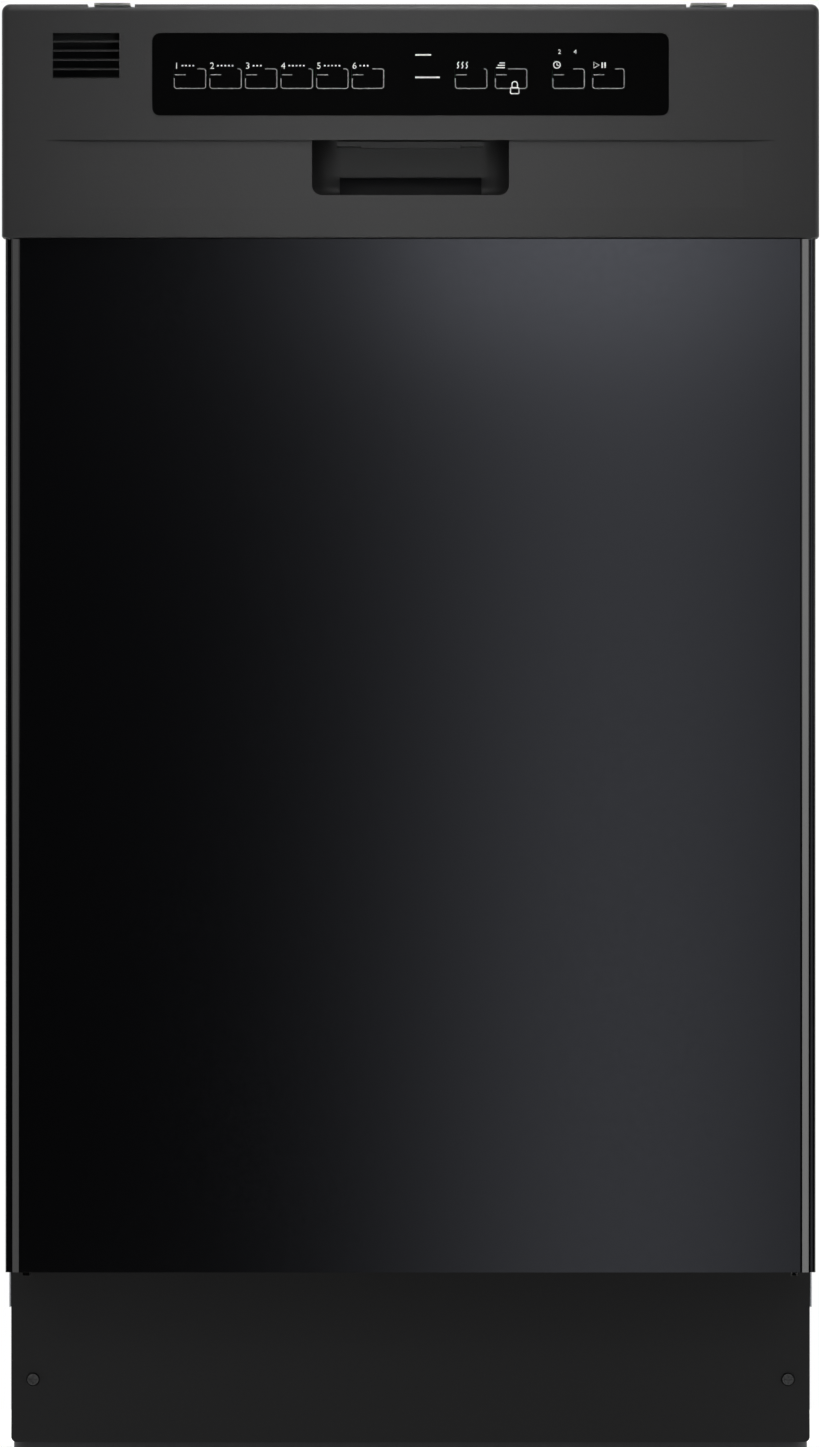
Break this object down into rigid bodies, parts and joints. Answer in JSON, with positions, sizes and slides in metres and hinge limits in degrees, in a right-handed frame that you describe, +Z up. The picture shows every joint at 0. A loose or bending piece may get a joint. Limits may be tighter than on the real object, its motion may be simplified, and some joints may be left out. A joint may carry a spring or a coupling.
{
  "type": "built-in dishwasher",
  "caption": "Narrow built-in dishwasher with a black drop-down door, top console with touch keys and handle pocket, pull-out racks, spray arms and a recessed toe kick.",
  "frame": {"origin": "centre of the footprint on the floor", "axes": "+Z up, the door faces -Y, +X to the right seen from the front"},
  "size_m": [0.4476, 0.5716, 0.8255],
  "materials": {
    "console_black": "satin moulded plastic",
    "door_black": "semi-gloss paint",
    "kick_black": "satin paint",
    "overlay_black": "glossy film",
    "stainless": "brushed stainless sheet",
    "galvanised": "galvanised sheet",
    "plated_steel": "zinc plated",
    "base_black": "moulded plastic",
    "grey_plastic": "moulded plastic",
    "light_plastic": "moulded plastic",
    "coated_wire": "nylon coated wire",
    "seal_rubber": "soft rubber",
    "felt": "pressed felt",
    "board_green": "solder mask"
  },
  "bodies": {
    "cabinet": {"base_tray": "base_black", "side_panel_left": "galvanised", "side_panel_right": "galvanised", "rear_panel": "galvanised", "top_frame": "galvanised", "tub": "stainless", "tub_mats": "felt", "tub_seal": "seal_rubber", "sump": "base_black", "wash_pump": "base_black", "drain_pump": "light_plastic", "heating_element": "plated_steel", "filter_plate": "stainless", "inlet_valve": "light_plastic", "riser_pipe": "grey_plastic", "rack_rails": "stainless", "mounting_brackets": "plated_steel", "toe_kick": "kick_black", "toe_kick_screws": "kick_black", "hinge_plates": "plated_steel", "junction_box": "galvanised", "door_springs": "plated_steel"},
    "door": {"door_panel": "door_black", "door_liner": "stainless", "console": "console_black", "touch_overlay": "overlay_black", "control_board": "board_green", "latch_case": "base_black", "dispenser_body": "grey_plastic", "hinge_arms": "plated_steel", "vent_duct": "base_black"},
    "leg_front_left": {"leg_front_left": "base_black"},
    "leg_front_right": {"leg_front_right": "base_black"},
    "leg_rear_left": {"leg_rear_left": "base_black"},
    "leg_rear_right": {"leg_rear_right": "base_black"},
    "lower_spray_arm": {"lower_spray_arm": "grey_plastic"},
    "filter_cup": {"filter_cup": "grey_plastic"},
    "flood_float": {"flood_float": "light_plastic"},
    "dispenser_cover": {"dispenser_cover": "grey_plastic"},
    "rinse_aid_cap": {"rinse_aid_cap": "light_plastic"},
    "release_paddle": {"release_paddle": "console_black"},
    "latch_hook": {"latch_hook": "plated_steel"},
    "upper_spray_arm": {"upper_spray_arm": "grey_plastic"},
    "lower_wheels_front": {"lower_wheels_front": "grey_plastic"},
    "lower_wheels_rear": {"lower_wheels_rear": "grey_plastic"},
    "key_cycle_1": {"key_cycle_1": "overlay_black"},
    "key_cycle_2": {"key_cycle_2": "overlay_black"},
    "key_cycle_3": {"key_cycle_3": "overlay_black"},
    "key_cycle_4": {"key_cycle_4": "overlay_black"},
    "key_cycle_5": {"key_cycle_5": "overlay_black"},
    "key_cycle_6": {"key_cycle_6": "overlay_black"},
    "key_option_heat": {"key_option_heat": "overlay_black"},
    "key_option_dry": {"key_option_dry": "overlay_black"},
    "key_option_delay": {"key_option_delay": "overlay_black"},
    "key_option_start": {"key_option_start": "overlay_black"},
    "upper_rack": {"upper_rack": "coated_wire", "upper_rack_glides": "grey_plastic", "upper_feed": "grey_plastic"},
    "lower_rack": {"lower_rack": "coated_wire", "cutlery_basket": "grey_plastic"}
  },
  "joints": [
    {"name": "door_hinge", "type": "hinge", "parent": "cabinet", "child": "door", "pos_m": [0, -0.22875, 0.139], "axis": [1, 0, 0], "range_deg": [0, 90], "deforming": ["door_springs"]},
    {"name": "upper_rack_slide", "type": "slide", "parent": "cabinet", "child": "upper_rack", "axis": [0, -1, 0], "range_m": [0, 0.37]},
    {"name": "lower_rack_slide", "type": "slide", "parent": "cabinet", "child": "lower_rack", "axis": [0, -1, 0], "range_m": [0, 0.166]},
    {"name": "lower_wheels_front_spin", "type": "hinge", "parent": "lower_rack", "child": "lower_wheels_front", "pos_m": [0, -0.07375, 0.1683], "axis": [1, 0, 0], "range_deg": [0, 530]},
    {"name": "lower_wheels_rear_spin", "type": "hinge", "parent": "lower_rack", "child": "lower_wheels_rear", "pos_m": [0, 0.14375, 0.1683], "axis": [1, 0, 0], "range_deg": [0, 530]},
    {"name": "upper_arm_spin", "type": "hinge", "parent": "upper_rack", "child": "upper_spray_arm", "pos_m": [0, 0.02, 0.442], "axis": [0, 0, 1], "continuous": true},
    {"name": "lower_arm_spin", "type": "hinge", "parent": "cabinet", "child": "lower_spray_arm", "pos_m": [0, 0.02, 0.162], "axis": [0, 0, 1], "continuous": true},
    {"name": "leg_front_left_screw", "type": "slide", "parent": "cabinet", "child": "leg_front_left", "axis": [0, 0, -1], "range_m": [0, 0.05]},
    {"name": "leg_front_right_screw", "type": "slide", "parent": "cabinet", "child": "leg_front_right", "axis": [0, 0, -1], "range_m": [0, 0.05]},
    {"name": "leg_rear_left_screw", "type": "slide", "parent": "cabinet", "child": "leg_rear_left", "axis": [0, 0, -1], "range_m": [0, 0.05]},
    {"name": "leg_rear_right_screw", "type": "slide", "parent": "cabinet", "child": "leg_rear_right", "axis": [0, 0, -1], "range_m": [0, 0.05]},
    {"name": "filter_twist", "type": "hinge", "parent": "cabinet", "child": "filter_cup", "pos_m": [0.032, 0.004, 0.15], "axis": [0, 0, 1], "range_deg": [0, 60]},
    {"name": "float_rise", "type": "slide", "parent": "cabinet", "child": "flood_float", "axis": [0, 0, 1], "range_m": [0, 0.006]},
    {"name": "dispenser_slide", "type": "slide", "parent": "door", "child": "dispenser_cover", "axis": [0, 0, -1], "range_m": [0, 0.066]},
    {"name": "rinse_cap_twist", "type": "hinge", "parent": "door", "child": "rinse_aid_cap", "pos_m": [0.042, -0.22675, 0.456], "axis": [0, 1, 0], "range_deg": [0, 90]},
    {"name": "key_cycle_1_press", "type": "slide", "parent": "door", "child": "key_cycle_1", "axis": [0, 1, 0], "range_m": [0, 0.0006], "stiffness_N_per_m": 1200},
    {"name": "key_cycle_2_press", "type": "slide", "parent": "door", "child": "key_cycle_2", "axis": [0, 1, 0], "range_m": [0, 0.0006], "stiffness_N_per_m": 1200},
    {"name": "key_cycle_3_press", "type": "slide", "parent": "door", "child": "key_cycle_3", "axis": [0, 1, 0], "range_m": [0, 0.0006], "stiffness_N_per_m": 1200},
    {"name": "key_cycle_4_press", "type": "slide", "parent": "door", "child": "key_cycle_4", "axis": [0, 1, 0], "range_m": [0, 0.0006], "stiffness_N_per_m": 1200},
    {"name": "key_cycle_5_press", "type": "slide", "parent": "door", "child": "key_cycle_5", "axis": [0, 1, 0], "range_m": [0, 0.0006], "stiffness_N_per_m": 1200},
    {"name": "key_cycle_6_press", "type": "slide", "parent": "door", "child": "key_cycle_6", "axis": [0, 1, 0], "range_m": [0, 0.0006], "stiffness_N_per_m": 1200},
    {"name": "key_option_heat_press", "type": "slide", "parent": "door", "child": "key_option_heat", "axis": [0, 1, 0], "range_m": [0, 0.0006], "stiffness_N_per_m": 1200},
    {"name": "key_option_dry_press", "type": "slide", "parent": "door", "child": "key_option_dry", "axis": [0, 1, 0], "range_m": [0, 0.0006], "stiffness_N_per_m": 1200},
    {"name": "key_option_delay_press", "type": "slide", "parent": "door", "child": "key_option_delay", "axis": [0, 1, 0], "range_m": [0, 0.0006], "stiffness_N_per_m": 1200},
    {"name": "key_option_start_press", "type": "slide", "parent": "door", "child": "key_option_start", "axis": [0, 1, 0], "range_m": [0, 0.0006], "stiffness_N_per_m": 1200},
    {"name": "release_pull", "type": "hinge", "parent": "door", "child": "release_paddle", "pos_m": [0, -0.26175, 0.7526], "axis": [-1, 0, 0], "range_deg": [0, 12], "stiffness_Nm_per_rad": 0.4},
    {"name": "latch_lift", "type": "hinge", "parent": "door", "child": "latch_hook", "pos_m": [0, -0.24375, 0.81], "axis": [1, 0, 0], "range_deg": [0, 4]}
  ],
  "couplings": [
    {"joint": "upper_rack_slide", "follows": "door_hinge", "m_per_rad": 0.235},
    {"joint": "lower_rack_slide", "follows": "door_hinge", "m_per_rad": 0.105},
    {"joint": "lower_wheels_front_spin", "follows": "door_hinge", "ratio": 5.8333},
    {"joint": "lower_wheels_rear_spin", "follows": "door_hinge", "ratio": 5.8333},
    {"joint": "latch_lift", "follows": "release_pull", "ratio": 0.33333}
  ]
}
